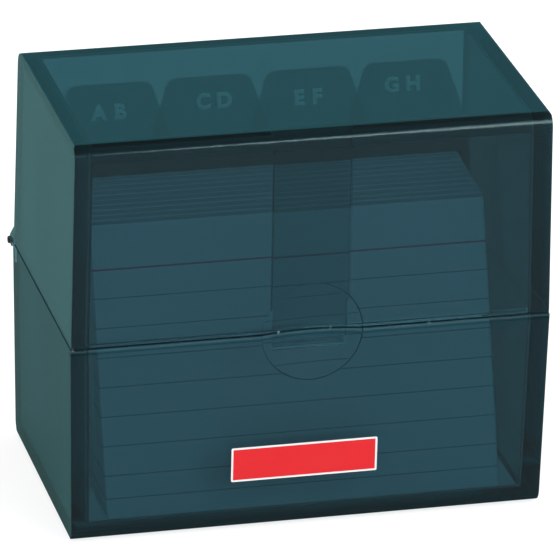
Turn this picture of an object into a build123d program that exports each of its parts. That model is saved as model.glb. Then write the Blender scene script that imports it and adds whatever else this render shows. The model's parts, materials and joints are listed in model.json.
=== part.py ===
"""Index card box: a clear tinted base and a hinged lid around a leaning stack of ruled cards.

Millimetres. +X is the width (seen from the front, right is positive), +Y points to the back, +Z is
up, and the origin is the middle of the face that the box stands on. The box is worked out from what
it holds: the cards and dividers set its inside, and the walls and their draft set its outside.
"""

import os
from math import cos, radians, sin, tan

from build123d import *

# Cards
card_width = 104.0
card_height = 75.5
card_thickness = 0.2
card_pitch = 0.25
cards_per_bundle = 10
bundle_count = 10
front_lean = 18.5
back_lean = 12.4
card_shift = 0.3

# Dividers
divider_names = ["ab", "cd", "ef", "gh"]
divider_overhang = 4.0
divider_body_rise = 5.0
divider_thickness = 0.35
divider_lean = 12.0
tab_height = 16.5
tab_top_width = 21.5
tab_side_slant = 5.5
tab_corner_radius = 3.0

# Clearances
leaf_gap = 0.12
floor_gap = 0.1
front_play = 1.5
rear_play = 4.6
divider_side_play = 1.8
headroom = 6.5
seam_gap = 0.2
tongue_gap = 0.45
shelf_gap = 0.3
stop_gap = 0.1
hinge_side_gap = 0.3
pin_running_gap = 0.05
label_gap = 0.01

# Shells
base_height = 54.1
floor_thickness = 4.0
top_thickness = 3.0
front_wall = 3.8
side_wall = 4.2
base_draft = 0.8
lid_draft = 0.84
rim_step = 0.15
long_edge_radius = 3.7
side_edge_radius = 1.0
rim_edge_radius = 0.25
inner_edge_radius = 1.0

# Latch tongue and thumb dish
tongue_width = 20.0
tongue_thickness = 1.4
tongue_drop = 6.0
tongue_foot_height = 1.3
tongue_foot_depth = 0.7
tongue_foot_radius = 0.4
weld = 0.4
dish_radius = 13.2
dish_depth = 1.8
dish_rise = 0.0

# Hinge
pin_radius = 1.0
pin_back = 4.3
pin_drop = 0.9
pin_stand_out = 0.9
knuckle_radius = 1.8
lid_ear_width = 2.6
lid_ear_height = 4.8
base_ear_width = 3.0
base_ear_height = 5.5
shelf_height = 1.7
shelf_tip_height = 0.9
lid_open_angle = 105.0
stop_start = 0.6
stop_end = 2.8
pin_edge_radius = 0.3

# Front label
label_width = 38.5
label_height = 9.5
label_thickness = 0.12
label_centre_x = -1.2
label_centre_z = 18.4
label_corner_radius = 0.4

# Leaves stand one behind another, each foot as far back as the lean of the one before needs
bundle_thickness = (cards_per_bundle - 1) * card_pitch + card_thickness
bundle_leans = [
    front_lean + (back_lean - front_lean) * index / (bundle_count - 1)
    for index in range(bundle_count)
]
next_leans = bundle_leans[1:] + [divider_lean]
bundle_steps = []
for lean, next_lean in zip(bundle_leans, next_leans):
    closing = card_height * (sin(radians(lean)) - sin(radians(next_lean)))
    bundle_steps.append(bundle_thickness / cos(radians(lean)) + max(closing, 0.0) + leaf_gap)
divider_step = divider_thickness / cos(radians(divider_lean)) + leaf_gap
dividers_foot = sum(bundle_steps)
divider_width = card_width + 2 * divider_overhang
divider_body_height = card_height + divider_body_rise
divider_height = divider_body_height + tab_height
last_divider_foot = dividers_foot + (len(divider_names) - 1) * divider_step
stack_reach = (
    last_divider_foot
    + divider_height * sin(radians(divider_lean))
    + divider_thickness * cos(radians(divider_lean))
)

# Inside and outside of the shells
seam_z = base_height
leaf_z = floor_thickness + floor_gap + divider_thickness * sin(radians(front_lean))
divider_top_z = leaf_z + divider_height * cos(radians(divider_lean))
lid_top_z = divider_top_z + headroom + top_thickness
lid_height = lid_top_z - seam_z - seam_gap
base_flare = base_height * tan(radians(base_draft))
lid_narrowing = rim_step + (divider_top_z - seam_z) * tan(radians(lid_draft))
inner_half_width = divider_width / 2 + divider_side_play
inner_half_depth = (front_play + stack_reach + rear_play - base_flare + lid_narrowing) / 2
base_half_width = inner_half_width + side_wall + base_flare
base_half_depth = inner_half_depth + front_wall + base_flare
lid_half_width = base_half_width - rim_step
lid_half_depth = base_half_depth - rim_step
front_foot = -inner_half_depth + front_play


def drafted_block(half_width, half_depth, height, seam, draft, long_edge, side_edge):
    """A block that is widest at the seam and drawn in by its draft towards its far end.

    A negative height runs down from the seam. The two radii are those of the far edges along X and
    of the far edges along Y. The rim is slightly broken and the upright edges are sharp.
    """
    drawn_in = abs(height) * tan(radians(draft))
    far_end = seam + height
    with BuildPart() as block:
        with BuildSketch(Plane.YZ) as side_profile:
            Polygon(
                (-half_depth, seam),
                (half_depth, seam),
                (half_depth - drawn_in, far_end),
                (-half_depth + drawn_in, far_end),
                align=None,
            )
            fillet(side_profile.vertices().filter_by_position(Axis.Y, far_end, far_end), long_edge)
        extrude(amount=2 * half_width, both=True)
        with BuildSketch(Plane.XZ) as front_profile:
            Polygon(
                (-half_width, seam),
                (half_width, seam),
                (half_width - drawn_in, far_end),
                (-half_width + drawn_in, far_end),
                align=None,
            )
            fillet(front_profile.vertices().filter_by_position(Axis.Y, far_end, far_end), side_edge)
        extrude(amount=2 * half_depth, both=True, mode=Mode.INTERSECT)
        fillet(block.edges().filter_by_position(Axis.Z, seam, seam), rim_edge_radius)
    return block.part


def hollow_block(half_width, half_depth, height, seam, draft):
    """The hollow of a shell, with one inner radius on every edge but those of its mouth."""
    way = 1 if height > 0 else -1
    with BuildPart() as hollow:
        with BuildSketch(Plane.XY.offset(seam)):
            Rectangle(2 * half_width, 2 * half_depth)
        extrude(amount=abs(height), dir=(0, 0, way), taper=draft)
        mouth = hollow.edges().filter_by_position(Axis.Z, seam, seam)
        fillet(hollow.edges() - mouth, inner_edge_radius)
    return hollow.part


# Base, with the thumb dish sunk in its front and its two hinge ears behind
base_outside = drafted_block(
    base_half_width,
    base_half_depth,
    -base_height,
    seam_z,
    base_draft,
    long_edge_radius,
    side_edge_radius,
)
base_hollow = hollow_block(
    base_half_width - side_wall,
    base_half_depth - front_wall,
    floor_thickness - base_height,
    seam_z,
    base_draft,
)

dish_sphere_radius = (dish_radius**2 + dish_depth**2) / (2 * dish_depth)
front_face_y = -(base_half_depth + lid_half_depth) / 2
dish_centre = (0, front_face_y + dish_depth - dish_sphere_radius, seam_z + dish_rise)

pin_y = base_half_depth + pin_back
pin_z = seam_z - pin_drop
lid_ear_outside = lid_half_width - rim_edge_radius
base_ear_outside = lid_ear_outside - lid_ear_width - hinge_side_gap
base_ear_root = base_half_depth - front_wall / 2
ear_shoulder_z = seam_z - rim_edge_radius
shelf_tip_y = pin_y - knuckle_radius - shelf_gap

# The open lid leans on this face of each base ear: it lies square to its distance from the pin
stop_angle = radians(lid_open_angle - lid_draft)
stop_reach = (pin_back + rim_step) * cos(radians(lid_draft)) - stop_gap
stop_start_y = pin_y - stop_reach * cos(stop_angle) + stop_start * sin(stop_angle)
stop_start_z = pin_z + stop_reach * sin(stop_angle) + stop_start * cos(stop_angle)
stop_end_y = pin_y - stop_reach * cos(stop_angle) + stop_end * sin(stop_angle)
stop_end_z = pin_z + stop_reach * sin(stop_angle) + stop_end * cos(stop_angle)

with BuildPart() as base_shell:
    add(base_outside)
    add(base_hollow, mode=Mode.SUBTRACT)
    with Locations(dish_centre):
        Sphere(dish_sphere_radius, mode=Mode.SUBTRACT)
    for side in (-1, 1):
        with BuildSketch(Plane.YZ.offset(side * base_ear_outside)):
            Polygon(
                (base_ear_root, seam_z - base_ear_height),
                (base_half_depth, seam_z - base_ear_height),
                (pin_y, pin_z - knuckle_radius),
                (pin_y, ear_shoulder_z),
                (base_ear_root, ear_shoulder_z),
                align=None,
            )
            Polygon(
                (pin_y - knuckle_radius, pin_z),
                (stop_start_y, stop_start_z),
                (stop_end_y, stop_end_z),
                (pin_y + knuckle_radius, pin_z),
                align=None,
            )
            with Locations((pin_y, pin_z)):
                Circle(knuckle_radius)
                Circle(pin_radius, mode=Mode.SUBTRACT)
        extrude(amount=-side * base_ear_width)
        with BuildSketch(Plane.YZ.offset(side * lid_ear_outside)):
            Polygon(
                (base_ear_root, seam_z - shelf_height),
                (base_half_depth, seam_z - shelf_height),
                (shelf_tip_y, ear_shoulder_z - shelf_tip_height),
                (shelf_tip_y, ear_shoulder_z),
                (base_ear_root, ear_shoulder_z),
                align=None,
            )
        extrude(amount=-side * (lid_ear_width + hinge_side_gap))

# Lid, with the same dish, the latch tongue down the inside of its front and its two hinge ears
lid_rim_z = seam_z + seam_gap
lid_roof_z = lid_top_z - top_thickness
lid_outside = drafted_block(
    lid_half_width,
    lid_half_depth,
    lid_height,
    lid_rim_z,
    lid_draft,
    long_edge_radius,
    side_edge_radius,
)
lid_hollow = hollow_block(
    lid_half_width - side_wall,
    lid_half_depth - front_wall,
    lid_height - top_thickness,
    lid_rim_z,
    lid_draft,
)

tongue_face_y = -(base_half_depth - front_wall) + tongue_gap
tongue_back_y = tongue_face_y + tongue_thickness
tongue_foot_y = tongue_back_y + tongue_foot_depth
tongue_tip_z = seam_z - tongue_drop
wall_rim_y = -(lid_half_depth - front_wall)
wall_roof_y = wall_rim_y + (lid_roof_z - lid_rim_z) * tan(radians(lid_draft))
tongue_roof_y = wall_roof_y + tongue_back_y - wall_rim_y
ear_root_y = lid_half_depth - front_wall / 2
ear_slope_y = pin_y + knuckle_radius * sin(radians(45))
ear_slope_z = pin_z + knuckle_radius * cos(radians(45))

with BuildPart() as lid_shell:
    add(lid_outside)
    add(lid_hollow, mode=Mode.SUBTRACT)
    with BuildSketch(Plane.YZ):
        Polygon(
            (wall_roof_y - weld, lid_roof_z + weld),
            (wall_rim_y - weld, lid_rim_z),
            (tongue_face_y, lid_rim_z),
            (tongue_face_y, tongue_tip_z),
            (tongue_foot_y, tongue_tip_z),
            (tongue_foot_y, tongue_tip_z + tongue_foot_height),
            (tongue_back_y, tongue_tip_z + tongue_foot_height + tongue_foot_depth),
            (tongue_roof_y, lid_roof_z + weld),
            align=None,
        )
    extrude(amount=tongue_width / 2, both=True)
    foot_edges = lid_shell.edges().filter_by(Axis.X).filter_by_position(
        Axis.Z, tongue_tip_z, tongue_tip_z + tongue_foot_height
    )
    fillet(foot_edges, tongue_foot_radius)
    with Locations(dish_centre):
        Sphere(dish_sphere_radius, mode=Mode.SUBTRACT)
    for side in (-1, 1):
        with BuildSketch(Plane.YZ.offset(side * lid_ear_outside)):
            Polygon(
                (ear_root_y, lid_rim_z),
                (pin_y, lid_rim_z),
                (ear_slope_y, ear_slope_z),
                (lid_half_depth, lid_rim_z + lid_ear_height),
                (ear_root_y, lid_rim_z + lid_ear_height),
                align=None,
            )
            with Locations((pin_y, pin_z)):
                Circle(knuckle_radius)
                Circle(pin_radius + pin_running_gap, mode=Mode.SUBTRACT)
        extrude(amount=-side * lid_ear_width)

# Hinge pins, pressed into the base's ears and turning in the lid's
pin_outer_end = lid_ear_outside + pin_stand_out
pin_length = pin_outer_end - base_ear_outside + base_ear_width
hinge_pins = {}
for side, side_name in ((-1, "left"), (1, "right")):
    with BuildPart() as hinge_pin:
        with BuildSketch(Plane.YZ.offset(side * pin_outer_end)):
            with Locations((pin_y, pin_z)):
                Circle(pin_radius)
        extrude(amount=-side * pin_length)
        fillet(hinge_pin.edges().filter_by(GeomType.CIRCLE), pin_edge_radius)
    hinge_pins[f"hinge_pin_{side_name}"] = hinge_pin

# Label, laid on the drafted front of the base
label_face_y = -base_half_depth + (seam_z - label_centre_z) * tan(radians(base_draft))
label_plane = Plane(
    origin=(label_centre_x, label_face_y - label_gap, label_centre_z),
    x_dir=(1, 0, 0),
    z_dir=(0, -cos(radians(base_draft)), -sin(radians(base_draft))),
)
with BuildPart() as front_label:
    with BuildSketch(label_plane):
        RectangleRounded(label_width, label_height, label_corner_radius)
    extrude(amount=label_thickness)


def leaf_plane(centre_x, foot_y, lean):
    """The plane of a leaf that stands on its front foot and leans back: X across, Y up the leaf."""
    return Plane(
        origin=(centre_x, foot_y, leaf_z),
        x_dir=(1, 0, 0),
        z_dir=(0, -cos(radians(lean)), sin(radians(lean))),
    )


# Cards, in bundles that lean together, each card standing on its own foot
foot = front_foot
leaf_feet = {}
card_bundles = {}
for number, (lean, step) in enumerate(zip(bundle_leans, bundle_steps), start=1):
    with BuildPart() as card_bundle:
        for card in range(cards_per_bundle):
            card_foot = foot + card * card_pitch / cos(radians(lean))
            with BuildSketch(leaf_plane(card_shift, card_foot, lean)):
                Rectangle(card_width, card_height, align=(Align.CENTER, Align.MIN))
            extrude(amount=-card_thickness)
    card_bundles[f"cards_{number:02d}"] = card_bundle
    leaf_feet[f"cards_{number:02d}"] = foot
    foot += step

# Dividers behind the cards, with their tabs side by side
tab_foot_width = tab_top_width + 2 * tab_side_slant
tab_spread = divider_width - tab_foot_width
dividers = {}
for index, divider_name in enumerate(divider_names):
    tab_centre = -tab_spread / 2 + index * tab_spread / (len(divider_names) - 1)
    with BuildPart() as divider:
        with BuildSketch(leaf_plane(0, foot, divider_lean)) as outline:
            Rectangle(divider_width, divider_body_height, align=(Align.CENTER, Align.MIN))
            Polygon(
                (tab_centre - tab_foot_width / 2, divider_body_height - weld),
                (tab_centre + tab_foot_width / 2, divider_body_height - weld),
                (tab_centre + tab_foot_width / 2, divider_body_height),
                (tab_centre + tab_top_width / 2, divider_height),
                (tab_centre - tab_top_width / 2, divider_height),
                (tab_centre - tab_foot_width / 2, divider_body_height),
                align=None,
            )
            fillet(outline.vertices().group_by(Axis.Y)[-1], tab_corner_radius)
        extrude(amount=-divider_thickness)
    dividers[f"divider_{divider_name}"] = divider
    leaf_feet[f"divider_{divider_name}"] = foot
    foot += divider_step

pieces = {"base_shell": base_shell, "lid_shell": lid_shell, "front_label": front_label}
pieces.update(hinge_pins)
pieces.update(card_bundles)
pieces.update(dividers)

os.makedirs("parts", exist_ok=True)
for name, piece in pieces.items():
    piece.part.label = name
    export_step(piece.part, f"parts/{name}.step")

print(f"outside {2 * base_half_width:.1f} x {2 * base_half_depth:.1f} x {lid_top_z:.1f} mm")
print(f"hinge axis at y {pin_y:.2f}, z {pin_z:.2f}; leaves stand at z {leaf_z:.2f}")
for name, leaf_foot in leaf_feet.items():
    print(f"{name} stands at y {leaf_foot:.2f}")
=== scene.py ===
"""Looks of the index card box: tinted clear shells, ruled cards, tabbed dividers and a bare red label.

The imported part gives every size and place. The shells, the hinge pins, the dividers and the label keep
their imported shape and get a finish. The card bundles are replaced by cut sheets, one by one, and the
tabs get their index letters. Lengths in dataclass fields are millimetres unless a name says otherwise.
"""

import json
import logging
import math
import random
from dataclasses import dataclass, field
from enum import Enum

import bpy
from mathutils import Matrix, Quaternion, Vector

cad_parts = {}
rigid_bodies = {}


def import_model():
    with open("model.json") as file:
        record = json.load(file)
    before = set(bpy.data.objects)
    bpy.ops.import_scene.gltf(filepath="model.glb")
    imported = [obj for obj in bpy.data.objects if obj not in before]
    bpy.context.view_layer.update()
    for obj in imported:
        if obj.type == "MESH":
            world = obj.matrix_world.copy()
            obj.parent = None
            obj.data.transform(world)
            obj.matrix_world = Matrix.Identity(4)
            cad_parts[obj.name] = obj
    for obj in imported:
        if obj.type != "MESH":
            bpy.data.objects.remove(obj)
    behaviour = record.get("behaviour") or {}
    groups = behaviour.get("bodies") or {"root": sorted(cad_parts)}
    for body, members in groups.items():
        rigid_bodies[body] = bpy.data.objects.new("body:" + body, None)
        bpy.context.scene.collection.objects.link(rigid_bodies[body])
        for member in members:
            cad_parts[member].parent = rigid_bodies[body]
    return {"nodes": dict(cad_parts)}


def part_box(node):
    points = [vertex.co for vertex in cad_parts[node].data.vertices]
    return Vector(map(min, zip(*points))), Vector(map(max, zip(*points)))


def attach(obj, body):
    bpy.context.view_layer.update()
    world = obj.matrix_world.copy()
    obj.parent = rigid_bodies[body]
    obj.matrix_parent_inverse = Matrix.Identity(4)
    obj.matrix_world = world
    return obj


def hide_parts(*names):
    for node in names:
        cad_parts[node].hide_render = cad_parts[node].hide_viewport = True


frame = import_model()

LOG = logging.getLogger("card_box")
MM = 0.001

Colour = tuple[float, float, float]
Socket = bpy.types.NodeSocket
Feed = Socket | float | tuple[float, ...]


class Slot(Enum):
    """The record's material slots that new pieces take their finish from."""

    CARD = "card_paper"
    DIVIDER = "divider_board"


class Noise(Enum):
    """The kinds of procedural noise that the finishes use."""

    CLOUDY = "FBM"
    RIDGED = "RIDGED_MULTIFRACTAL"


def deselect_all() -> None:
    """Leaves nothing selected, so that an operator acts only on what is chosen next."""
    for item in bpy.context.view_layer.objects:
        item.select_set(False)


def choose(*items: bpy.types.Object) -> None:
    """Selects only these objects and makes the first one active.

    Args:
        items: the objects that the next operator acts on.
    """
    deselect_all()
    for item in items:
        item.select_set(True)
    bpy.context.view_layer.objects.active = items[0]


def dress(piece: bpy.types.Object, material: bpy.types.Material) -> None:
    """Puts one finish on a whole piece.

    Args:
        piece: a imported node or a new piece.
        material: the finish.
    """
    if not piece.material_slots:
        piece.data.materials.append(material)
    for slot in piece.material_slots:
        slot.material = material


class NodeSheet:
    """A node tree with short calls that add nodes and join them."""

    def __init__(self, tree: bpy.types.NodeTree) -> None:
        """Empties the tree.

        Args:
            tree: the tree of a material, a world or a group.
        """
        self.tree = tree
        self.tree.nodes.clear()

    def add(self, kind: str, **settings: object) -> bpy.types.Node:
        """Adds one node.

        Args:
            kind: the node's type name.
            settings: its properties.

        Returns:
            The new node.
        """
        node = self.tree.nodes.new(kind)
        for name, value in settings.items():
            setattr(node, name, value)
        return node

    def feed(self, target: Socket, source: Feed) -> None:
        """Joins a socket to another, or sets its plain value.

        Args:
            target: the input socket.
            source: an output socket, a number or a tuple.
        """
        if isinstance(source, bpy.types.NodeSocket):
            self.tree.links.new(source, target)
        else:
            target.default_value = source

    def maths(self, operation: str, *values: Feed, clamp: bool = False) -> Socket:
        """Adds a Math node.

        Args:
            operation: the sum that it does.
            values: its inputs in order.
            clamp: whether the result stays between 0 and 1.

        Returns:
            The result.
        """
        node = self.add("ShaderNodeMath", operation=operation, use_clamp=clamp)
        for socket, value in zip(node.inputs, values):
            self.feed(socket, value)
        return node.outputs[0]

    def ramp(self, value: Feed, start: float, end: float, low: float = 0.0, high: float = 1.0) -> Socket:
        """Eases a value from one level to another.

        Args:
            value: what is read.
            start: the reading that gives the low level.
            end: the reading that gives the high level.
            low: the level at the start.
            high: the level at the end.

        Returns:
            The eased level.
        """
        node = self.add("ShaderNodeMapRange", interpolation_type="SMOOTHSTEP")
        for socket, item in zip(node.inputs, (value, start, end, low, high)):
            self.feed(socket, item)
        return node.outputs[0]

    def mix(self, factor: Feed, first: Feed, second: Feed) -> Socket:
        """Mixes two colours.

        Args:
            factor: the share of the second.
            first: a colour of four numbers, or a socket.
            second: the other colour.

        Returns:
            The mixed colour.
        """
        node = self.add("ShaderNodeMix", data_type="RGBA")
        self.feed(node.inputs[0], factor)
        self.feed(node.inputs[6], first)
        self.feed(node.inputs[7], second)
        return node.outputs[2]

    def mix_shaders(self, factor: Feed, first: Socket, second: Socket) -> Socket:
        """Mixes two shaders.

        Args:
            factor: the share of the second.
            first: a shader.
            second: the other shader.

        Returns:
            The mixed shader.
        """
        node = self.add("ShaderNodeMixShader")
        self.feed(node.inputs[0], factor)
        self.feed(node.inputs[1], first)
        self.feed(node.inputs[2], second)
        return node.outputs[0]

    def scaled(self, vector: Socket, *scale: float) -> Socket:
        """Multiplies a vector by a number for each axis.

        Args:
            vector: the vector.
            scale: its three factors.

        Returns:
            The scaled vector.
        """
        node = self.add("ShaderNodeVectorMath", operation="MULTIPLY")
        self.feed(node.inputs[0], vector)
        self.feed(node.inputs[1], scale)
        return node.outputs[0]

    def split(self, vector: Socket) -> tuple[Socket, Socket, Socket]:
        """Returns the three parts of a vector."""
        node = self.add("ShaderNodeSeparateXYZ")
        self.feed(node.inputs[0], vector)
        return node.outputs[0], node.outputs[1], node.outputs[2]

    def noise(self, vector: Socket, scale: Feed, detail: float = 2.0, kind: Noise = Noise.CLOUDY) -> Socket:
        """Adds a Noise Texture.

        Args:
            vector: where it is read.
            scale: how many features fit in one unit.
            detail: how many finer layers it has.
            kind: its kind.

        Returns:
            The noise, about 0 to 1.
        """
        node = self.add("ShaderNodeTexNoise", noise_type=kind.value, normalize=True)
        self.feed(node.inputs["Vector"], vector)
        self.feed(node.inputs["Scale"], scale)
        node.inputs["Detail"].default_value = detail
        return node.outputs["Fac"]

    def place_mm(self) -> Socket:
        """Returns the place on the piece in millimetres of the shared frame."""
        coordinates = self.add("ShaderNodeTexCoord")
        return self.scaled(coordinates.outputs["Object"], 1 / MM, 1 / MM, 1 / MM)

    def bump(self, height: Feed, distance_mm: float, strength: float = 1.0) -> Socket:
        """Turns a height into a normal.

        Args:
            height: the height, 0 to 1.
            distance_mm: how high 1 stands.
            strength: the share of it that shows.

        Returns:
            The normal.
        """
        node = self.add("ShaderNodeBump")
        node.inputs["Strength"].default_value = strength
        node.inputs["Distance"].default_value = distance_mm * MM
        self.feed(node.inputs["Height"], height)
        return node.outputs[0]

    def use(self, group: bpy.types.NodeTree, **values: Feed) -> bpy.types.Node:
        """Places a shared group.

        Args:
            group: the group.
            values: its inputs by name.

        Returns:
            The group's node.
        """
        node = self.add("ShaderNodeGroup", node_tree=group)
        for name, value in values.items():
            self.feed(node.inputs[name], value)
        return node


def new_group(name: str, inputs: dict[str, float | None], outputs: tuple[str, ...]) -> tuple[NodeSheet, dict, dict]:
    """Starts a shared group of shader nodes.

    Args:
        name: the group's name.
        inputs: each input with its plain value, or None for a vector.
        outputs: the outputs, all plain numbers.

    Returns:
        The sheet, the input sockets by name and the output sockets by name.
    """
    tree = bpy.data.node_groups.new(name, "ShaderNodeTree")
    sheet = NodeSheet(tree)
    for label, value in inputs.items():
        kind = "NodeSocketVector" if value is None else "NodeSocketFloat"
        socket = tree.interface.new_socket(name=label, in_out="INPUT", socket_type=kind)
        if value is not None:
            socket.default_value = value
    for label in outputs:
        tree.interface.new_socket(name=label, in_out="OUTPUT", socket_type="NodeSocketFloat")
    entry = sheet.add("NodeGroupInput")
    leave = sheet.add("NodeGroupOutput")
    return sheet, {item: entry.outputs[item] for item in inputs}, {item: leave.inputs[item] for item in outputs}


class SharedEffects:
    """The effects that several finishes share, each built once."""

    def __init__(self) -> None:
        """Builds the groups."""
        self.grain = self.build_grain()
        self.handling = self.build_handling()
        self.line = self.build_line()

    def build_grain(self) -> bpy.types.NodeTree:
        """Returns fine grain with a coarser drift in it, for paper, sheet and print."""
        sheet, source, target = new_group("fine_grain", {"Place": None, "Per mm": 4.0, "Drift": 0.3}, ("Value",))
        fine = sheet.noise(source["Place"], source["Per mm"], 3.0)
        coarse = sheet.noise(source["Place"], sheet.maths("MULTIPLY", source["Per mm"], 0.02), 2.0)
        drift = sheet.maths("MULTIPLY", sheet.maths("SUBTRACT", coarse, 0.5), source["Drift"])
        sheet.feed(target["Value"], sheet.maths("ADD", fine, drift, clamp=True))
        return sheet.tree

    def build_handling(self) -> bpy.types.NodeTree:
        """Returns the marks of use on gloss: broad smears and hair-fine scratches."""
        sheet, source, target = new_group("handling_marks", {"Place": None, "Smears": 1.0, "Scratches": 1.0}, ("Smear", "Scratch"))
        smear = sheet.ramp(sheet.noise(sheet.scaled(source["Place"], 0.05, 0.05, 0.09), 1.0, 4.0), 0.45, 0.75)
        sheet.feed(target["Smear"], sheet.maths("MULTIPLY", smear, source["Smears"]))
        turned = sheet.add("ShaderNodeMapping")
        turned.inputs["Rotation"].default_value = (0.3, 0.5, 0.7)
        turned.inputs["Scale"].default_value = (0.05, 2.6, 2.6)
        sheet.feed(turned.inputs["Vector"], source["Place"])
        hairs = sheet.ramp(sheet.noise(turned.outputs[0], 1.0, 1.0), 0.72, 0.78)
        sheet.feed(target["Scratch"], sheet.maths("MULTIPLY", hairs, source["Scratches"]))
        return sheet.tree

    def build_line(self) -> bpy.types.NodeTree:
        """Returns a printed line: 1 within half its width of a height, softly 0 beyond."""
        sheet, source, target = new_group("printed_line", {"Away": 0.0, "Width": 0.25}, ("Ink",))
        half = sheet.maths("MULTIPLY", source["Width"], 0.5)
        node = sheet.add("ShaderNodeMapRange", interpolation_type="SMOOTHSTEP")
        sheet.feed(node.inputs[0], sheet.maths("ABSOLUTE", source["Away"]))
        sheet.feed(node.inputs[1], sheet.maths("MULTIPLY", half, 0.8))
        sheet.feed(node.inputs[2], sheet.maths("MULTIPLY", half, 1.3))
        node.inputs[3].default_value = 1.0
        node.inputs[4].default_value = 0.0
        sheet.feed(target["Ink"], node.outputs[0])
        return sheet.tree


def new_finish(name: str) -> tuple[bpy.types.Material, NodeSheet, bpy.types.Node]:
    """Starts a finish.

    Args:
        name: the material's name.

    Returns:
        The material, its sheet and its output node.
    """
    material = bpy.data.materials.new(name)
    material.use_nodes = True
    sheet = NodeSheet(material.node_tree)
    return material, sheet, sheet.add("ShaderNodeOutputMaterial")


def opaque(colour: Colour) -> tuple[float, float, float, float]:
    """Returns a colour with its fourth number."""
    return (*colour, 1.0)


@dataclass(frozen=True)
class PaintedHaze:
    """The share and tint of a diffuse haze laid over one kind of face or edge: pale tints paint light and highlights,
    dark tints paint shade.
    """

    share: float
    tint: Colour


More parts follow.
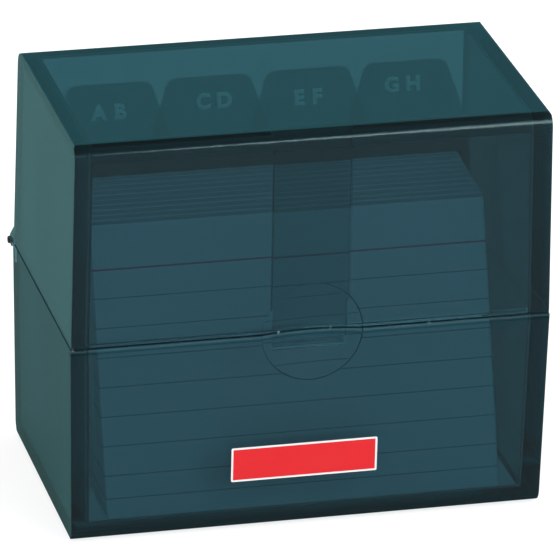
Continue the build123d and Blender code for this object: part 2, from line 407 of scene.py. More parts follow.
@dataclass(frozen=True)
class TintedPlastic:
    """Clear polished plastic, tinted dark teal through its whole thickness."""

    wall_tint: Colour = (0.195, 0.288, 0.333)
    strap_tint: Colour = (0.100, 0.155, 0.180)
    tip_tint: Colour = (0.70, 0.88, 0.90)
    loss_per_mm: Colour = (0.12, 0.040, 0.038)
    loss_scale: float = 0.2
    refraction: float = 1.58
    shine: Colour = (0.60, 0.88, 0.92)
    polish: tuple[float, float] = (0.0, 0.03)
    worn_polish: tuple[float, float] = (0.04, 0.14)
    seam_z: float = 54.2
    front_y: float = -33.8
    edge_y: float = -31.5
    haze_y: float = -32.6
    edge_z: float = 105.0
    top_z: float = 107.6
    roof_z: float = 105.7
    floor_z: float = 3.9
    side_x: float = 60.0
    rear_y: float = 34.0
    tongue_x: float = 10.5
    tongue_y: tuple[float, float] = (-32.0, -29.2)
    tongue_z: float = 47.0
    root_z: float = 102.4
    brow_z: float = 103.0
    brow_y: float = -30.4
    # Beyond this x, the painted highlight on the tongue's tip runs up its right side.
    tip_line_x: float = 9.4
    ledge_z: float = 48.8
    dish_z: float = 54.1
    dish_radius: float = 13.2
    rim_width: float = 0.24
    inner_bloom: PaintedHaze = PaintedHaze(0.004, (0.4, 0.8, 0.9))
    # Painted light over a faint haze: the front, the top, the sides and the base's sides each get a haze share and tint
    # of their own, painting the brightness that each face shows.
    front_painted_light: PaintedHaze = PaintedHaze(0.02, (0.50, 0.78, 0.90))
    top_painted_light: PaintedHaze = PaintedHaze(0.053, (0.21, 0.80, 0.94))
    side_painted_light: PaintedHaze = PaintedHaze(0.137, (0.315, 0.77, 0.78))
    side_shade: PaintedHaze = PaintedHaze(0.68, (0.01, 0.10, 0.11))
    corner_shade: PaintedHaze = PaintedHaze(0.89, (0.02, 0.045, 0.05))
    rim_shade: PaintedHaze = PaintedHaze(0.8, (0.006, 0.022, 0.027))
    edge_shade: PaintedHaze = PaintedHaze(0.35, (0.012, 0.020, 0.022))
    base_painted_light: PaintedHaze = PaintedHaze(0.10, (0.315, 0.77, 0.78))
    # Painted light: a paler haze on the tongue's tip below the seam.
    tip_painted_light: PaintedHaze = PaintedHaze(0.06, (0.35, 0.80, 0.85))
    # Painted highlight: near-white lines along the tongue tip's lower edge and right side.
    tip_rim_highlight: PaintedHaze = PaintedHaze(0.95, (0.85, 1.0, 1.0))
    # Painted highlight: a pale line just inside the dish's rim.
    rim_highlight: float = 0.014
    # Painted highlight: a pale line just below the seam on the front.
    seam_highlight: float = 0.035
    below_shade: PaintedHaze = PaintedHaze(0.25, (0.01, 0.05, 0.06))
    # Painted glints: near-white spots along the seam on the front.
    seam_glints: PaintedHaze = PaintedHaze(0.4, (0.70, 0.85, 0.86))

    def facing(self, sheet: NodeSheet, start: float, end: float) -> list[Socket]:
        """Finds how squarely a face lies across each axis.

        Args:
            sheet: the finish's sheet.
            start: the part of the normal along an axis that counts as 0.
            end: the part that counts as 1.

        Returns:
            The masks of the faces across X, Y and Z.
        """
        parts = sheet.split(sheet.add("ShaderNodeTexCoord").outputs["Normal"])
        return [sheet.ramp(sheet.maths("ABSOLUTE", part), start, end) for part in parts]

    def outer_masks(self, sheet: NodeSheet) -> tuple[Socket, Socket, Socket]:
        """Finds the outer faces.

        Args:
            sheet: the finish's sheet.

        Returns:
            A mask of the front with its rounded edge, one of the top, and one of the sides and the rear.
        """
        along, deep, high = sheet.split(sheet.place_mm())
        across, back, up = self.facing(sheet, 0.5, 0.8)
        rounded = sheet.maths("MULTIPLY", sheet.maths("GREATER_THAN", high, self.roof_z), sheet.maths("LESS_THAN", deep, self.edge_y))
        front = sheet.maths("MAXIMUM", rounded, sheet.maths("LESS_THAN", deep, self.front_y))
        top = sheet.maths("MULTIPLY", sheet.maths("GREATER_THAN", high, self.top_z), sheet.maths("GREATER_THAN", deep, self.haze_y))
        side = sheet.maths("MULTIPLY", across, sheet.maths("GREATER_THAN", sheet.maths("ABSOLUTE", along), self.side_x))
        rear = sheet.maths("MULTIPLY", back, sheet.maths("GREATER_THAN", deep, self.rear_y))
        return front, sheet.maths("MULTIPLY", up, top), sheet.maths("MAXIMUM", side, rear)

    def tongue_masks(self, sheet: NodeSheet) -> tuple[Socket, Socket, Socket]:
        """Finds the latch tongue.

        Args:
            sheet: the finish's sheet.

        Returns:
            A mask of the whole tongue, one of its tip below the seam, and one of the lines along the tip's lower edge
            and right side, where a highlight is painted.
        """
        along, deep, high = sheet.split(sheet.place_mm())
        across = sheet.maths("ABSOLUTE", along)
        depth = sheet.maths("MULTIPLY", sheet.maths("GREATER_THAN", deep, self.tongue_y[0]), sheet.maths("LESS_THAN", deep, self.tongue_y[1]))
        rise = sheet.maths("MULTIPLY", sheet.maths("GREATER_THAN", high, self.tongue_z), sheet.maths("LESS_THAN", high, self.root_z))
        whole = sheet.maths("MULTIPLY", sheet.maths("LESS_THAN", across, self.tongue_x), sheet.maths("MULTIPLY", depth, rise))
        tip = sheet.maths("MULTIPLY", whole, sheet.maths("LESS_THAN", high, self.seam_z - 0.2))
        ledge = sheet.ramp(sheet.maths("ABSOLUTE", sheet.maths("SUBTRACT", high, self.ledge_z)), 0.36, 0.2)
        upright = sheet.maths("MULTIPLY", sheet.maths("GREATER_THAN", along, self.tip_line_x), sheet.maths("LESS_THAN", high, self.ledge_z + 2.2))
        return whole, tip, sheet.maths("MULTIPLY", tip, sheet.maths("MAXIMUM", ledge, upright))

    def inner_masks(self, sheet: NodeSheet) -> tuple[Socket, Socket]:
        """Finds the inner faces of the side walls and the rounded inner corners.

        Args:
            sheet: the finish's sheet.

        Returns:
            A mask of the inner side faces, and one of the corners where the walls and the floor or the roof meet.
        """
        along, deep, high = sheet.split(sheet.place_mm())
        across = sheet.maths("ABSOLUTE", along)
        flat = self.facing(sheet, 0.985, 0.9995)
        curved = sheet.maths("SUBTRACT", 1.0, sheet.maths("MAXIMUM", sheet.maths("MAXIMUM", flat[0], flat[1]), flat[2]))
        within = sheet.maths("MULTIPLY", sheet.maths("LESS_THAN", across, self.side_x), sheet.maths("LESS_THAN", sheet.maths("ABSOLUTE", deep), self.rear_y))
        level = sheet.maths("MULTIPLY", sheet.maths("LESS_THAN", high, self.roof_z), sheet.maths("GREATER_THAN", high, self.floor_z))
        inside = sheet.maths("MULTIPLY", sheet.maths("MULTIPLY", within, level), sheet.maths("SUBTRACT", 1.0, self.tongue_masks(sheet)[0]))
        root = sheet.maths("MULTIPLY", sheet.maths("LESS_THAN", across, self.tongue_x), sheet.maths("LESS_THAN", deep, self.tongue_y[1]))
        root = sheet.maths("MULTIPLY", root, sheet.maths("GREATER_THAN", high, self.root_z))
        brow = sheet.maths("MULTIPLY", sheet.maths("GREATER_THAN", high, self.brow_z), sheet.maths("LESS_THAN", deep, self.brow_y))
        shaded = sheet.maths("MAXIMUM", curved, sheet.maths("MAXIMUM", root, brow))
        return sheet.maths("MULTIPLY", inside, flat[0]), sheet.maths("MULTIPLY", inside, shaded)

    def dish_rims(self, sheet: NodeSheet) -> tuple[Socket, Socket]:
        """Finds the softened rim of the thumb dish, where a line of painted shade and a pale line of painted highlight
        go, both stronger on its lower half.

        Args:
            sheet: the finish's sheet.

        Returns:
            A mask of the rim's outer line of painted shade and one of its inner line of painted highlight.
        """
        along, deep, high = sheet.split(sheet.place_mm())
        rise = sheet.maths("SUBTRACT", high, self.dish_z)
        reach = sheet.maths("SQRT", sheet.maths("ADD", sheet.maths("MULTIPLY", along, along), sheet.maths("MULTIPLY", rise, rise)))
        front = sheet.maths("MULTIPLY", sheet.maths("LESS_THAN", deep, self.front_y), sheet.ramp(sheet.maths("SUBTRACT", rise, along), 16.0, -4.0, 0.25, 1.0))
        lines = []
        for radius in (self.dish_radius, self.dish_radius - self.rim_width * 1.4):
            away = sheet.maths("ABSOLUTE", sheet.maths("SUBTRACT", reach, radius))
            lines.append(sheet.maths("MULTIPLY", sheet.ramp(away, self.rim_width, 0.04), front))
        return lines[0], lines[1]

    def relief(self, sheet: NodeSheet, front_edge: Socket, rim: Socket) -> Socket:
        """Returns the height of the moulding ripple, the worn front edge, the dish's rim and the chattered seam.

        Args:
            sheet: the finish's sheet.
            front_edge: the mask of the worn edge.
            rim: the mask of the dish's rim.
        """
        place = sheet.place_mm()
        high = sheet.split(place)[2]
        seam = sheet.ramp(sheet.maths("ABSOLUTE", sheet.maths("SUBTRACT", high, self.seam_z)), 0.7, 0.25)
        brushed = sheet.noise(sheet.scaled(place, 0.35, 5.0, 5.0), 1.0, 3.0)
        chatter = sheet.noise(sheet.scaled(place, 0.6, 1.4, 1.4), 1.0, 3.0)
        ripple = sheet.noise(sheet.scaled(place, 0.035, 0.035, 0.035), 1.0, 1.0)
        worn = sheet.maths("MULTIPLY", sheet.maths("MULTIPLY", brushed, front_edge), 0.12)
        seam_spots = sheet.maths("MULTIPLY", sheet.maths("MULTIPLY", chatter, seam), 0.2)
        marks = sheet.maths("SUBTRACT", sheet.maths("ADD", worn, seam_spots), sheet.maths("MULTIPLY", rim, 0.1))
        return sheet.maths("ADD", sheet.maths("MULTIPLY", ripple, 0.5), marks)

    def haze(self, sheet: NodeSheet, rim: Socket, inner_rim: Socket) -> tuple[Socket, Socket]:
        """Finds the haze of every face with its painted light, and the painted shade, highlights and glints of the
        edges.

        Args:
            sheet: the finish's sheet.
            rim: the mask of the dish's rim, where shade is painted.
            inner_rim: the mask of the pale line of painted highlight inside it.

        Returns:
            The share of haze and its tint.
        """
        along, _, high = sheet.split(sheet.place_mm())
        seam = sheet.maths("ABSOLUTE", sheet.maths("SUBTRACT", high, self.seam_z))
        under = sheet.ramp(sheet.maths("ABSOLUTE", sheet.maths("SUBTRACT", high, self.seam_z - 0.6)), 0.3, 0.1)
        below = sheet.ramp(sheet.maths("ABSOLUTE", sheet.maths("SUBTRACT", high, self.seam_z - 1.35)), 0.4, 0.15)
        # Spots along the seam where glints are painted.
        glint_along = sheet.add("ShaderNodeCombineXYZ")
        sheet.feed(glint_along.inputs[0], along)
        seam_spots = sheet.ramp(sheet.noise(glint_along.outputs[0], 0.28, 3.0), 0.60, 0.68)
        front, top, side = self.outer_masks(sheet)
        edge = sheet.maths("MULTIPLY", front, sheet.ramp(high, self.edge_z + 1.2, self.edge_z + 2.2))
        base_side = sheet.maths("MULTIPLY", side, sheet.maths("LESS_THAN", high, self.seam_z))
        inner_side, corner = self.inner_masks(sheet)
        tongue, tip, tip_lines = self.tongue_masks(sheet)
        upright = sheet.maths("MULTIPLY", self.facing(sheet, 0.5, 0.8)[1], sheet.maths("SUBTRACT", 1.0, tongue))
        joint = sheet.maths("MULTIPLY", sheet.ramp(seam, 0.34, 0.18), upright)
        # Layers of haze, each mixed over those before it. The pale face layers paint light. The dark layers paint shade
        # on the front edge, the inner side faces, the inner corners, the dish's rim, the seam and a line below it. The
        # tongue tip's lines are a painted highlight and the seam spots are painted glints.
        layers = (
            (front, self.front_painted_light), (edge, self.edge_shade), (top, self.top_painted_light), (side, self.side_painted_light),
            (base_side, self.base_painted_light), (inner_side, self.side_shade),
            (corner, self.corner_shade), (rim, self.rim_shade), (tip, self.tip_painted_light), (tip_lines, self.tip_rim_highlight), (joint, self.rim_shade),
            (sheet.maths("MULTIPLY", below, front), self.below_shade),
            (sheet.maths("MULTIPLY", sheet.maths("MULTIPLY", joint, seam_spots), front), self.seam_glints),
        )
        share: Feed = self.inner_bloom.share
        tint: Feed = opaque(self.inner_bloom.tint)
        for mask, bloom in layers:
            eased = sheet.ramp(mask, 0.0, 1.0)
            weight = sheet.maths("MULTIPLY", eased, bloom.share)
            share = sheet.maths("ADD", sheet.maths("MULTIPLY", share, sheet.maths("SUBTRACT", 1.0, eased)), weight)
            tint = sheet.mix(sheet.maths("DIVIDE", weight, share, clamp=True), tint, opaque(bloom.tint))
        # Painted highlights: the pale line inside the dish's rim and the one just below the seam.
        lines = sheet.maths("ADD", sheet.maths("MULTIPLY", inner_rim, self.rim_highlight), sheet.maths("MULTIPLY", sheet.maths("MULTIPLY", under, front), self.seam_highlight))
        return sheet.maths("ADD", share, lines), tint

    def build(self, effects: SharedEffects) -> bpy.types.Material:
        """Returns the finish.

        Args:
            effects: the shared groups.
        """
        material, sheet, output = new_finish("tinted_plastic_finish")
        place = sheet.place_mm()
        along, deep, high = sheet.split(place)
        marks = sheet.use(effects.handling, Place=place)
        front_edge = sheet.maths("MULTIPLY", sheet.ramp(deep, self.edge_y + 0.3, self.edge_y - 0.3), sheet.ramp(high, self.edge_z - 0.4, self.edge_z + 0.2))
        rim, inner_rim = self.dish_rims(sheet)
        polish = sheet.ramp(marks.outputs["Smear"], 0.0, 1.0, *self.polish)
        worn = sheet.ramp(along, -60.0, 60.0, *self.worn_polish)
        gloss = sheet.add("ShaderNodeBsdfPrincipled")
        gloss.inputs["IOR"].default_value = self.refraction
        gloss.inputs["Transmission Weight"].default_value = 1.0
        gloss.inputs["Specular Tint"].default_value = opaque(self.shine)
        tongue, tip, _ = self.tongue_masks(sheet)
        strap = sheet.mix(tongue, opaque(self.wall_tint), opaque(self.strap_tint))
        sheet.feed(gloss.inputs["Base Color"], sheet.mix(tip, strap, opaque(self.tip_tint)))
        sheet.feed(gloss.inputs["Roughness"], sheet.ramp(front_edge, 0.0, 1.0, polish, worn))
        sheet.feed(gloss.inputs["Normal"], sheet.bump(self.relief(sheet, front_edge, rim), 0.1))
        share, tint = self.haze(sheet, rim, inner_rim)
        # The haze carries the painted light, shade, highlights and glints of the plastic.
        haze = sheet.add("ShaderNodeBsdfDiffuse")
        sheet.feed(haze.inputs[0], tint)
        hazed = sheet.mix_shaders(share, gloss.outputs[0], haze.outputs[0])
        passing = sheet.add("ShaderNodeBsdfTransparent")
        passing.inputs[0].default_value = opaque(tuple(0.94 * math.sqrt(part) for part in self.wall_tint))
        ray = sheet.add("ShaderNodeLightPath")
        lit = sheet.maths("MAXIMUM", ray.outputs["Is Shadow Ray"], ray.outputs["Is Diffuse Ray"])
        inside = sheet.add("ShaderNodeVolumeAbsorption")
        inside.inputs["Color"].default_value = opaque(tuple(1 - loss / self.loss_scale for loss in self.loss_per_mm))
        inside.inputs["Density"].default_value = self.loss_scale / MM
        sheet.feed(output.inputs["Surface"], sheet.mix_shaders(lit, hazed, passing.outputs[0]))
        sheet.feed(output.inputs["Volume"], inside.outputs[0])
        return material


@dataclass(frozen=True)
class RuledPaper:
    """White index card, printed with a red head line and grey-blue writing lines."""

    white: Colour = (0.77, 0.78, 0.82)
    line: Colour = (0.22, 0.27, 0.33)
    head: Colour = (0.70, 0.06, 0.17)
    head_height: float = 63.9
    first_line: float = 11.1
    lowest_line: float = 5.2
    top_line: float = 56.5
    pitch: float = 7.57
    line_width: float = 0.3
    card_height: float = 75.5

    def build(self, effects: SharedEffects) -> bpy.types.Material:
        """Returns the finish.

        Args:
            effects: the shared groups.
        """
        material, sheet, output = new_finish("ruled_card_finish")
        sheet_map = sheet.add("ShaderNodeUVMap", uv_map="sheet")
        height = sheet.maths("MULTIPLY", sheet.split(sheet_map.outputs[0])[1], self.card_height)
        away = sheet.maths("WRAP", sheet.maths("SUBTRACT", height, self.first_line), self.pitch / 2, -self.pitch / 2)
        ruled = sheet.use(effects.line, Away=away, Width=self.line_width)
        within = sheet.maths("MULTIPLY", sheet.maths("GREATER_THAN", height, self.first_line - 1), sheet.maths("LESS_THAN", height, self.top_line + 1))
        lowest = sheet.use(effects.line, Away=sheet.maths("SUBTRACT", height, self.lowest_line), Width=self.line_width)
        head = sheet.use(effects.line, Away=sheet.maths("SUBTRACT", height, self.head_height), Width=self.line_width * 1.5)
        lines = sheet.maths("MAXIMUM", sheet.maths("MULTIPLY", ruled.outputs[0], within), lowest.outputs[0])
        place = sheet.place_mm()
        grain = sheet.use(effects.grain, Place=place, **{"Per mm": 3.0, "Drift": 0.25})
        tone = sheet.add("ShaderNodeAttribute", attribute_name="tone")
        shade = sheet.maths("MULTIPLY", tone.outputs["Fac"], sheet.ramp(grain.outputs[0], 0.2, 0.8, 0.96, 1.02))
        paper = sheet.add("ShaderNodeVectorMath", operation="SCALE")
        paper.inputs[0].default_value = self.white
        sheet.feed(paper.inputs["Scale"], shade)
        inked = sheet.mix(sheet.maths("MULTIPLY", lines, 0.85), paper.outputs[0], opaque(self.line))
        inked = sheet.mix(sheet.maths("MULTIPLY", head.outputs[0], 0.9), inked, opaque(self.head))
        card = sheet.add("ShaderNodeBsdfPrincipled")
        card.inputs["Specular IOR Level"].default_value = 0.25
        sheet.feed(card.inputs["Base Color"], inked)
        sheet.feed(card.inputs["Roughness"], sheet.ramp(grain.outputs[0], 0.0, 1.0, 0.7, 0.9))
        sheet.feed(card.inputs["Normal"], sheet.bump(grain.outputs[0], 0.01))
        sheet.feed(output.inputs["Surface"], card.outputs[0])
        return material


@dataclass(frozen=True)
class DividerSheet:
    """Thin smoke-teal plastic sheet that lets some light through."""

    body: Colour = (0.020, 0.045, 0.048)
    through: Colour = (0.36, 0.56, 0.58)
    clear_share: float = 0.8

    def build(self, effects: SharedEffects) -> bpy.types.Material:
        """Returns the finish.

        Args:
            effects: the shared groups.
        """
        material, sheet, output = new_finish("divider_sheet_finish")
        place = sheet.place_mm()
        grain = sheet.use(effects.grain, Place=place, **{"Per mm": 1.6, "Drift": 0.5})
        film = sheet.add("ShaderNodeBsdfPrincipled")
        film.inputs["IOR"].default_value = 1.49
        sheet.feed(film.inputs["Base Color"], sheet.mix(grain.outputs[0], opaque(tuple(0.8 * part for part in self.body)), opaque(tuple(1.2 * part for part in self.body))))
        sheet.feed(film.inputs["Roughness"], sheet.ramp(grain.outputs[0], 0.2, 0.8, 0.35, 0.55))
        sheet.feed(film.inputs["Normal"], sheet.bump(grain.outputs[0], 0.02))
        clear = sheet.add("ShaderNodeBsdfTransparent")
        clear.inputs[0].default_value = opaque(self.through)
        sheet.feed(output.inputs["Surface"], sheet.mix_shaders(self.clear_share, film.outputs[0], clear.outputs[0]))
        return material


@dataclass(frozen=True)
class LetterInk:
    """Pale screen print of the index letters."""

    ink: Colour = (0.98, 0.97, 0.93)

    def build(self, effects: SharedEffects) -> bpy.types.Material:
        """Returns the finish.

        Args:
            effects: the shared groups.
        """
        material, sheet, output = new_finish("index_letter_ink")
        grain = sheet.use(effects.grain, Place=sheet.place_mm(), **{"Per mm": 5.0, "Drift": 0.2})
        ink = sheet.add("ShaderNodeBsdfPrincipled")
        sheet.feed(ink.inputs["Base Color"], sheet.mix(grain.outputs[0], opaque(tuple(0.9 * part for part in self.ink)), opaque(self.ink)))
        ink.inputs["Roughness"].default_value = 0.6
        sheet.feed(ink.inputs["Normal"], sheet.bump(grain.outputs[0], 0.005))
        sheet.feed(output.inputs["Surface"], ink.outputs[0])
        return material


@dataclass(frozen=True)
class LabelPrint:
    """Coated paper label: a red field inside a thin white border, with nothing written on it."""

    red: Colour = (0.80, 0.011, 0.018)
    white: Colour = (0.86, 0.86, 0.86)
    border: float = 0.5

    def build(self, effects: SharedEffects, low: Vector, high: Vector) -> bpy.types.Material:
        """Returns the finish.

        Args:
            effects: the shared groups.
            low: the label's lowest corner in metres.
            high: its highest corner.
        """
        material, sheet, output = new_finish("label_print_finish")
        place = sheet.place_mm()
        along, _, up = sheet.split(place)
        middle = (Vector(low) + Vector(high)) / 2 / MM
        half = (Vector(high) - Vector(low)) / 2 / MM
        inner_x = sheet.maths("SUBTRACT", half.x - self.border, sheet.maths("ABSOLUTE", sheet.maths("SUBTRACT", along, middle.x)))
        inner_z = sheet.maths("SUBTRACT", half.z - self.border, sheet.maths("ABSOLUTE", sheet.maths("SUBTRACT", up, middle.z)))
        field_share = sheet.ramp(sheet.maths("MINIMUM", inner_x, inner_z), -0.04, 0.04)
        grain = sheet.use(effects.grain, Place=place, **{"Per mm": 6.0, "Drift": 0.3})
        marks = sheet.use(effects.handling, Place=place, Smears=0.6)
        red = sheet.mix(grain.outputs[0], opaque(tuple(0.94 * part for part in self.red)), opaque(self.red))
        print_coat = sheet.add("ShaderNodeBsdfPrincipled")
        print_coat.inputs["Coat Weight"].default_value = 0.08
        print_coat.inputs["Coat Roughness"].default_value = 0.15
        sheet.feed(print_coat.inputs["Base Color"], sheet.mix(field_share, opaque(self.white), red))
        sheet.feed(print_coat.inputs["Roughness"], sheet.ramp(marks.outputs["Smear"], 0.0, 1.0, 0.4, 0.55))
        sheet.feed(print_coat.inputs["Normal"], sheet.bump(grain.outputs[0], 0.004))
        sheet.feed(output.inputs["Surface"], print_coat.outputs[0])
        return material


@dataclass(frozen=True)
class DrawnSteel:
    """Bright wire of the hinge pins, with fine draw marks along it."""

    steel: Colour = (0.56, 0.57, 0.58)

    def build(self, effects: SharedEffects) -> bpy.types.Material:
        """Returns the finish.

        Args:
            effects: the shared groups.
        """
        material, sheet, output = new_finish("drawn_steel_finish")
        place = sheet.place_mm()
        marks = sheet.use(effects.handling, Place=place, Scratches=0.5)
        drawn = sheet.noise(sheet.scaled(place, 0.4, 14.0, 14.0), 1.0, 2.0)
        wire = sheet.add("ShaderNodeBsdfPrincipled")
        wire.inputs["Metallic"].default_value = 1.0
        sheet.feed(wire.inputs["Base Color"], sheet.mix(drawn, opaque(tuple(0.85 * part for part in self.steel)), opaque(self.steel)))
        sheet.feed(wire.inputs["Roughness"], sheet.ramp(sheet.maths("ADD", drawn, marks.outputs["Scratch"]), 0.2, 1.2, 0.2, 0.42))
        sheet.feed(wire.inputs["Normal"], sheet.bump(drawn, 0.006))
        sheet.feed(output.inputs["Surface"], wire.outputs[0])
        return material


@dataclass
class CardStack:
    """The ruled cards: one cut sheet, copied for every card and gathered into its bundle."""

    effects: SharedEffects
    bundles: int = 10
    cards_in_bundle: int = 10
    width: float = 104.0
    height: float = 75.5
    packed_thickness: float = 0.2
    thickness: float = 0.243
    pitch: float = 0.254
    corner: float = 0.35
    sideways: float = 0.22
    cut_short: float = 0.08
    seed: int = 7
    chance: random.Random = field(init=False)

    def __post_init__(self) -> None:
        """Starts the seeded scatter."""
        self.chance = random.Random(self.seed)

    def cut_sheet(self) -> bpy.types.Object:
        """Returns one card, lying flat with its foot on X and its face up."""
        deselect_all()
        bpy.ops.mesh.primitive_cube_add(size=1.0, location=(0.0, 0.0, 0.0))
        card = bpy.context.active_object
        card.data.transform(Matrix.Diagonal((self.width * MM, self.height * MM, self.thickness * MM, 1.0)))
        card.data.transform(Matrix.Translation((0.0, self.height * MM / 2, -self.thickness * MM / 2)))
        bpy.ops.object.mode_set(mode="EDIT")
        bpy.ops.mesh.select_all(action="DESELECT")
        bpy.ops.object.mode_set(mode="OBJECT")
        for edge in card.data.edges:
            ends = [card.data.vertices[index].co for index in edge.vertices]
            edge.select = abs(ends[0].z - ends[1].z) > self.thickness * MM / 2
        bpy.ops.object.mode_set(mode="EDIT")
        bpy.ops.mesh.select_mode(type="EDGE")
        bpy.ops.mesh.bevel(offset=self.corner * MM, segments=3, affect="EDGES")
        bpy.ops.object.mode_set(mode="OBJECT")
        self.map_sheet(card.data)
        return card

    def map_sheet(self, mesh: bpy.types.Mesh) -> None:
        """Lays the print's map over the card, from its foot to its top edge.

        Args:
            mesh: the flat card.
        """
        while mesh.uv_layers:
            mesh.uv_layers.remove(mesh.uv_layers[0])
        layer = mesh.uv_layers.new(name="sheet")
        for loop in mesh.loops:
            spot = mesh.vertices[loop.vertex_index].co
            layer.data[loop.index].uv = (spot.x / MM / self.width + 0.5, spot.y / MM / self.height)

    def place(self, master: bpy.types.Object, name: str, index: int) -> bpy.types.Object:
        """Copies the card into its place in a bundle.

        Args:
            master: the flat card.
            name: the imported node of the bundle.
            index: the card's number in it, from the front.

        Returns:
            The placed card.
        """
        low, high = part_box(name)
        foot_y, sole_z = low[1] / MM, low[2] / MM
        lean = self.lean_of(high[2] / MM - sole_z)
        foot_z = sole_z + self.packed_thickness * math.sin(lean)
        middle = (low[0] + high[0]) / 2 / MM
        card = master.copy()
        card.data = master.data.copy()
        bpy.context.collection.objects.link(card)
        shorter = 1.0 - self.chance.uniform(0.0, self.cut_short) / self.height
        aside = self.chance.uniform(-self.sideways, self.sideways)
        back = index * self.pitch / math.cos(lean)
        lying = Matrix.Diagonal((1.0, shorter, 1.0, 1.0))
        standing = Matrix.Rotation(math.radians(90) - lean, 4, "X")
        spot = Matrix.Translation(Vector((middle + aside, foot_y + back, foot_z)) * MM)
        card.data.transform(spot @ standing @ lying)
        tone = card.data.attributes.new("tone", "FLOAT", "POINT")
        level = self.chance.uniform(0.94, 1.0)
        for item in tone.data:
            item.value = level
        return card

    def lean_of(self, rise: float) -> float:
        """Finds how far back a bundle leans.

        Args:
            rise: the height from its lowest to its highest point.

        Returns:
            The angle in radians, for which a leaning card of this height and thickness rises so far.
        """
        reach = math.hypot(self.height, self.packed_thickness)
        return math.acos(min(rise / reach, 1.0)) + math.atan2(self.packed_thickness, self.height)

    def build(self) -> None:
        """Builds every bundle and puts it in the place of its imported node."""
        paper = RuledPaper(card_height=self.height).build(self.effects)
        master = self.cut_sheet()
        for number in range(1, self.bundles + 1):
            name = f"cards_{number:02d}"
            cards = [self.place(master, name, index) for index in range(self.cards_in_bundle)]
            choose(*cards)
            bpy.ops.object.join()
            bundle = cards[0]
            bundle.name = f"{name}_sheets"
            dress(bundle, paper)
            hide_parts(name)
            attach(bundle, f"{name}_leaf")
            LOG.info("%s: %d cards, %d faces", bundle.name, len(cards), len(bundle.data.polygons))
        bpy.data.objects.remove(master, do_unlink=True)


@dataclass(frozen=True)
class TabLetter:
    """One printed letter of a tab."""

    letter: str
    across: float
    below_top: float


@dataclass
class Dividers:
    """The dividers and the letters on their tabs."""

    effects: SharedEffects
    thickness: float = 0.35
    letter_height: float = 4.3
    boldness: float = 0.048
    proud: float = 0.05
    stand_off: float = 0.03
    tabs: dict[str, tuple[TabLetter, ...]] = field(
        default_factory=lambda: {
            "ab": (TabLetter("A", -42.8, 7.4), TabLetter("B", -37.1, 7.4)),
            "cd": (TabLetter("C", -14.9, 6.5), TabLetter("D", -9.3, 6.5)),
            "ef": (TabLetter("E", 10.9, 7.5), TabLetter("F", 15.7, 7.5)),
            "gh": (TabLetter("G", 35.9, 6.0), TabLetter("H", 41.7, 6.0)),
        }
    )

    def face_of(self, name: str) -> Matrix:
        """Finds the front face of a divider.

        Args:
            name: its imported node.

        Returns:
            A frame with X across, Y up the sheet and its origin in the middle of the top edge.
        """
        mesh = frame["nodes"][name].data
        top = max(mesh.vertices, key=lambda vertex: (round(vertex.co.z / MM, 2), -vertex.co.y)).co
        foot = min(mesh.vertices, key=lambda vertex: (round(vertex.co.y / MM, 2), vertex.co.z)).co
        up = Vector((0.0, top.y - foot.y, top.z - foot.z)).normalized()
        normal = Vector((0.0, -up.z, up.y))
        turned = Matrix(((1.0, 0.0, 0.0), (0.0, up.y, up.z), (0.0, normal.y, normal.z))).transposed()
        return Matrix.Translation((0.0, top.y, top.z)) @ turned.to_4x4()

    def print_letter(self, item: TabLetter, face: Matrix) -> bpy.types.Object:
        """Prints one letter on its tab.

        Args:
            item: the letter and its place.
            face: the divider's front face.

        Returns:
            The letter as a mesh in place.
        """
        deselect_all()
        bpy.ops.object.text_add(location=(0.0, 0.0, 0.0))
        piece = bpy.context.active_object
        piece.data.body = item.letter
        piece.data.size = 1.0
        piece.data.offset = self.boldness
        piece.data.resolution_u = 6
        bpy.ops.object.convert(target="MESH")
        piece = bpy.context.active_object
        spots = [vertex.co for vertex in piece.data.vertices]
        low = Vector((min(spot.x for spot in spots), min(spot.y for spot in spots), 0.0))
        high = Vector((max(spot.x for spot in spots), max(spot.y for spot in spots), 0.0))
        scale = self.letter_height * MM / (high.y - low.y)
        piece.data.transform(Matrix.Scale(scale, 4) @ Matrix.Translation(-(low + high) / 2))
        bpy.ops.object.mode_set(mode="EDIT")
        bpy.ops.mesh.select_all(action="SELECT")
        bpy.ops.mesh.remove_doubles(threshold=0.004 * MM)
        bpy.ops.mesh.extrude_region_move(TRANSFORM_OT_translate={"value": (0.0, 0.0, self.proud * MM)})
        bpy.ops.mesh.select_all(action="SELECT")
        bpy.ops.mesh.normals_make_consistent(inside=False)
        bpy.ops.object.mode_set(mode="OBJECT")
        spot = Vector((item.across, -item.below_top, self.stand_off)) * MM
        piece.data.transform(face @ Matrix.Translation(spot))
        return piece

    def build(self) -> None:
        """Finishes the dividers and prints their letters."""
        film = DividerSheet().build(self.effects)
        ink = LetterInk().build(self.effects)
        for key, letters in self.tabs.items():
            name = f"divider_{key}"
            dress(frame["nodes"][name], film)
            face = self.face_of(name)
            pieces = [self.print_letter(item, face) for item in letters]
            choose(*pieces)
            bpy.ops.object.join()
            printed = pieces[0]
            printed.name = f"{name}_letters"
            dress(printed, ink)
            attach(printed, f"{name}_leaf")
            LOG.info("%s: letters on the tab", printed.name)


@dataclass
class Shells:
    """The base and the lid with their hinge pins, and the label on the base."""

    effects: SharedEffects

    def build(self) -> None:
        """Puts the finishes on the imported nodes."""
        plastic = TintedPlastic().build(self.effects)
        for name in ("base_shell", "lid_shell"):
            dress(frame["nodes"][name], plastic)
            LOG.info("%s: tinted plastic", name)
        steel = DrawnSteel().build(self.effects)
        for name in ("hinge_pin_left", "hinge_pin_right"):
            dress(frame["nodes"][name], steel)
            LOG.info("%s: drawn steel", name)
        low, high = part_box("front_label")
        dress(frame["nodes"]["front_label"], LabelPrint().build(self.effects, low, high))
        LOG.info("front_label: red print with a white border")


@dataclass(frozen=True)
class Lamp:
    """One soft lamp, aimed at the middle of the box."""

    name: str
    azimuth: float
    elevation: float
    distance_m: float
    size_m: tuple[float, float]
    radiance: float
    turn: float = 0.0
    mirrored: bool = False


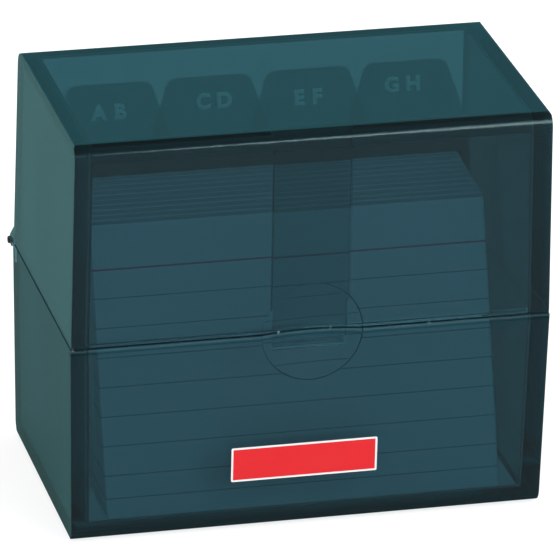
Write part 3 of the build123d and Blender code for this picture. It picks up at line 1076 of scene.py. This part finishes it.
@dataclass
class Studio:
    """The floor, the surroundings, the lamps and the camera."""

    middle: Vector = field(default_factory=lambda: Vector((0.0, 0.0, 0.05)))
    floor_half_m: float = 6.0
    floor_drop: float = 0.1
    plain_level: float = 0.75
    mirrored_level: float = 0.03
    mirrored_floor: float = 0.04
    camera_azimuth: float = -14.395
    camera_elevation: float = 23.0655
    camera_roll: float = 1.2793
    camera_distance_m: float = 1.577885
    camera_aside_m: float = 0.000509
    camera_above_m: float = 0.003062
    lens_mm: float = 390.985
    lamps: tuple[Lamp, ...] = (
        Lamp("key_lamp", 36.0, 25.0, 1.6, (1.0, 1.0), 3.6, 45.0, True),
        Lamp("left_lamp", -75.0, 34.0, 1.4, (1.0, 1.0), 1.6),
        Lamp("right_lamp", 80.0, 45.0, 1.5, (0.9, 0.9), 1.2),
        Lamp("top_lamp", 150.0, 75.0, 1.5, (0.9, 0.9), 1.2),
    )

    def direction(self, azimuth: float, elevation: float) -> Vector:
        """Finds where an angle points from the middle of the box.

        Args:
            azimuth: degrees from the front, positive to the right.
            elevation: degrees above the floor.

        Returns:
            The unit vector.
        """
        turn, lift = math.radians(azimuth), math.radians(elevation)
        return Vector((math.sin(turn) * math.cos(lift), -math.cos(turn) * math.cos(lift), math.sin(lift)))

    def build_floor(self) -> None:
        """Lays the pale floor, which the camera sees as white with the box's soft shadow."""
        deselect_all()
        bpy.ops.mesh.primitive_plane_add(size=2 * self.floor_half_m, location=(0.0, 0.0, 0.0))
        floor = bpy.context.active_object
        floor.name = "studio_floor"
        floor.data.transform(Matrix.Translation((0.0, 0.0, -self.floor_drop * MM)))
        material, sheet, output = new_finish("studio_floor_finish")
        pale = sheet.add("ShaderNodeBsdfDiffuse")
        pale.inputs[0].default_value = opaque((0.80, 0.80, 0.80))
        shaded = sheet.add("ShaderNodeBsdfDiffuse")
        shaded.inputs[0].default_value = opaque((0.95, 0.95, 0.95))
        white = sheet.add("ShaderNodeEmission")
        white.inputs[1].default_value = 1.3
        dim = sheet.add("ShaderNodeBsdfDiffuse")
        dim.inputs[0].default_value = opaque((self.mirrored_floor,) * 3)
        ray = sheet.add("ShaderNodeLightPath")
        seen = sheet.maths("MAXIMUM", ray.outputs["Is Camera Ray"], ray.outputs["Is Transmission Ray"])
        mirrored = sheet.maths("MULTIPLY", ray.outputs["Is Glossy Ray"], sheet.maths("SUBTRACT", 1.0, ray.outputs["Is Transmission Ray"]))
        shown = sheet.mix_shaders(0.55, shaded.outputs[0], white.outputs[0])
        surface = sheet.mix_shaders(seen, pale.outputs[0], shown)
        sheet.feed(output.inputs["Surface"], sheet.mix_shaders(mirrored, surface, dim.outputs[0]))
        dress(floor, material)

    def build_surroundings(self) -> None:
        """Fills the world: a plain level of light, white behind the box and dim in its gloss."""
        world = bpy.data.worlds.new("studio_surroundings")
        world.use_nodes = True
        bpy.context.scene.world = world
        sheet = NodeSheet(world.node_tree)
        output = sheet.add("ShaderNodeOutputWorld")
        ray = sheet.add("ShaderNodeLightPath")
        way_up = sheet.split(sheet.add("ShaderNodeTexCoord").outputs["Generated"])[2]
        backdrop = sheet.ramp(way_up, 0.15, 0.5, 1.0, 0.1)
        mirrored = sheet.maths("MULTIPLY", ray.outputs["Is Glossy Ray"], sheet.maths("SUBTRACT", 1.0, ray.outputs["Is Transmission Ray"]))
        level = sheet.add("ShaderNodeMix", data_type="FLOAT")
        sheet.feed(level.inputs[0], mirrored)
        level.inputs[2].default_value = self.plain_level
        level.inputs[3].default_value = self.mirrored_level
        through = sheet.add("ShaderNodeMix", data_type="FLOAT")
        sheet.feed(through.inputs[0], ray.outputs["Is Transmission Ray"])
        sheet.feed(through.inputs[2], level.outputs[0])
        sheet.feed(through.inputs[3], backdrop)
        seen = sheet.add("ShaderNodeMix", data_type="FLOAT")
        sheet.feed(seen.inputs[0], ray.outputs["Is Camera Ray"])
        sheet.feed(seen.inputs[2], through.outputs[0])
        seen.inputs[3].default_value = 1.0
        light = sheet.add("ShaderNodeBackground")
        sheet.feed(light.inputs["Strength"], seen.outputs[0])
        sheet.feed(output.inputs["Surface"], light.outputs[0])

    def build_lamp(self, lamp: Lamp) -> None:
        """Hangs one lamp.

        Args:
            lamp: its place, size and brightness.
        """
        away = self.direction(lamp.azimuth, lamp.elevation)
        bpy.ops.object.light_add(type="AREA", location=self.middle + away * lamp.distance_m)
        item = bpy.context.active_object
        item.name = lamp.name
        item.rotation_euler = (away.to_track_quat("Z", "Y") @ Quaternion((0.0, 0.0, 1.0), math.radians(lamp.turn))).to_euler()
        item.data.shape = "RECTANGLE"
        item.data.size, item.data.size_y = lamp.size_m
        item.data.energy = lamp.radiance * 4.0 * lamp.size_m[0] * lamp.size_m[1]
        item.visible_glossy = lamp.mirrored

    def build_camera(self) -> None:
        """Sets the camera as the photograph was taken: long lens, from the left and above."""
        back = self.direction(self.camera_azimuth, self.camera_elevation)
        turn = math.radians(self.camera_azimuth)
        level_right = Vector((math.cos(turn), math.sin(turn), 0.0))
        level_up = back.cross(level_right)
        roll = math.radians(self.camera_roll)
        right = level_right * math.cos(roll) + level_up * math.sin(roll)
        up = level_up * math.cos(roll) - level_right * math.sin(roll)
        spot = self.middle + back * self.camera_distance_m + right * self.camera_aside_m + up * self.camera_above_m
        bpy.ops.object.camera_add()
        camera = bpy.context.active_object
        camera.name = "photo_camera"
        camera.matrix_world = Matrix.Translation(spot) @ Matrix((right, up, back)).transposed().to_4x4()
        camera.data.sensor_width = 36.0
        camera.data.lens = self.lens_mm
        camera.data.clip_start = 0.01
        camera.data.clip_end = 50.0
        bpy.context.scene.camera = camera

    def build(self) -> None:
        """Builds the whole studio."""
        scene = bpy.context.scene
        scene.view_settings.view_transform = "Standard"
        scene.cycles.max_bounces = 24
        scene.cycles.transmission_bounces = 24
        scene.cycles.transparent_max_bounces = 32
        self.build_floor()
        self.build_surroundings()
        for lamp in self.lamps:
            self.build_lamp(lamp)
        self.build_camera()
        LOG.info("studio: %d lamps", len(self.lamps))


def main() -> None:
    """Builds the box's looks in order."""
    logging.basicConfig(level=logging.INFO, format="%(name)s %(message)s")
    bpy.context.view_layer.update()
    effects = SharedEffects()
    Studio().build()
    Shells(effects).build()
    CardStack(effects).build()
    Dividers(effects).build()


if __name__ == "__main__":
    main()
